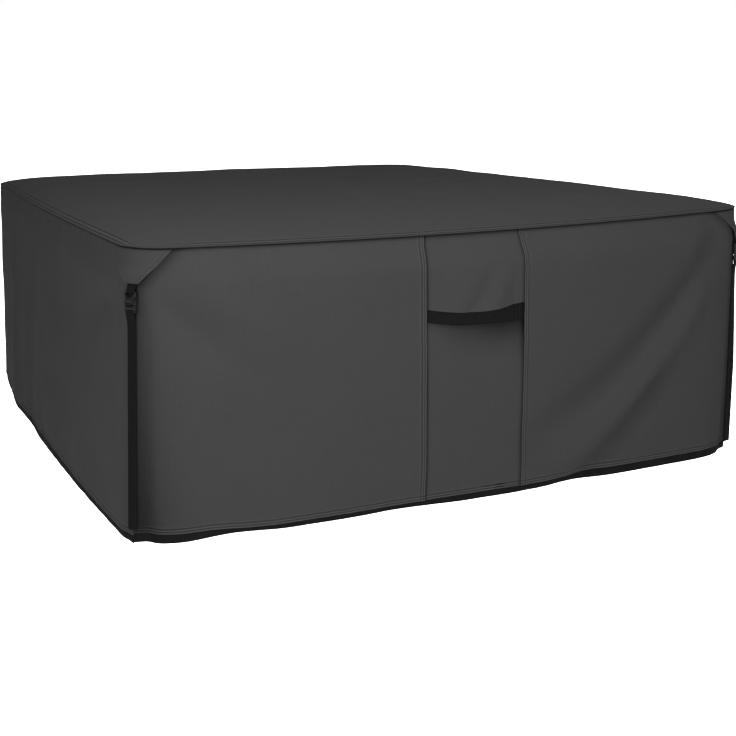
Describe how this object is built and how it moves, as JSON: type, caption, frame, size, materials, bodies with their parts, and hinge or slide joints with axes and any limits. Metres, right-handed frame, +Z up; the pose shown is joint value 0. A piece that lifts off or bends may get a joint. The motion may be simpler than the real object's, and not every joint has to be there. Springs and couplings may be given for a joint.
{
  "type": "patio furniture cover",
  "caption": "Fitted rectangular cover: a shallow crowned lid, hanging walls with a front vent flap and grab handle, and a strap with a buckle at each corner.",
  "frame": {"origin": "the middle of the lid's underside, where the furniture below carries it", "axes": "+Z up, the front with the vent flap faces -Y, +X to the right seen from the front"},
  "size_m": [1.9476, 2.4394, 0.7933],
  "materials": {
    "charcoal_cloth": "matt charcoal woven polyester with a water-repellent coating",
    "black_webbing": "black ribbed polypropylene webbing",
    "black_facing": "black woven strip sewn inside the hem",
    "black_plastic": "black moulded acetal with a fine grain"
  },
  "bodies": {
    "root": {"top_panel": "charcoal_cloth", "front_left_panel": "charcoal_cloth", "middle_panel": "charcoal_cloth", "front_right_panel": "charcoal_cloth", "vent_flap": "charcoal_cloth", "right_wall": "charcoal_cloth", "back_wall": "charcoal_cloth", "left_wall": "charcoal_cloth", "corner_gusset_fl": "charcoal_cloth", "corner_gusset_fr": "charcoal_cloth", "corner_gusset_br": "charcoal_cloth", "corner_gusset_bl": "charcoal_cloth", "grab_handle": "black_webbing", "buckle_tab_fl": "black_webbing", "buckle_tab_fr": "black_webbing", "buckle_tab_br": "black_webbing", "buckle_tab_bl": "black_webbing", "corner_strap_fl": "black_webbing", "corner_strap_fr": "black_webbing", "corner_strap_br": "black_webbing", "corner_strap_bl": "black_webbing", "hem_facing_front": "black_facing", "hem_facing_right": "black_facing", "hem_facing_back": "black_facing", "hem_facing_left": "black_facing", "buckle_socket_fl": "black_plastic", "buckle_socket_fr": "black_plastic", "buckle_socket_br": "black_plastic", "buckle_socket_bl": "black_plastic", "buckle_plug_fl": "black_plastic", "buckle_plug_fr": "black_plastic", "buckle_plug_br": "black_plastic", "buckle_plug_bl": "black_plastic"}
  },
  "joints": []
}
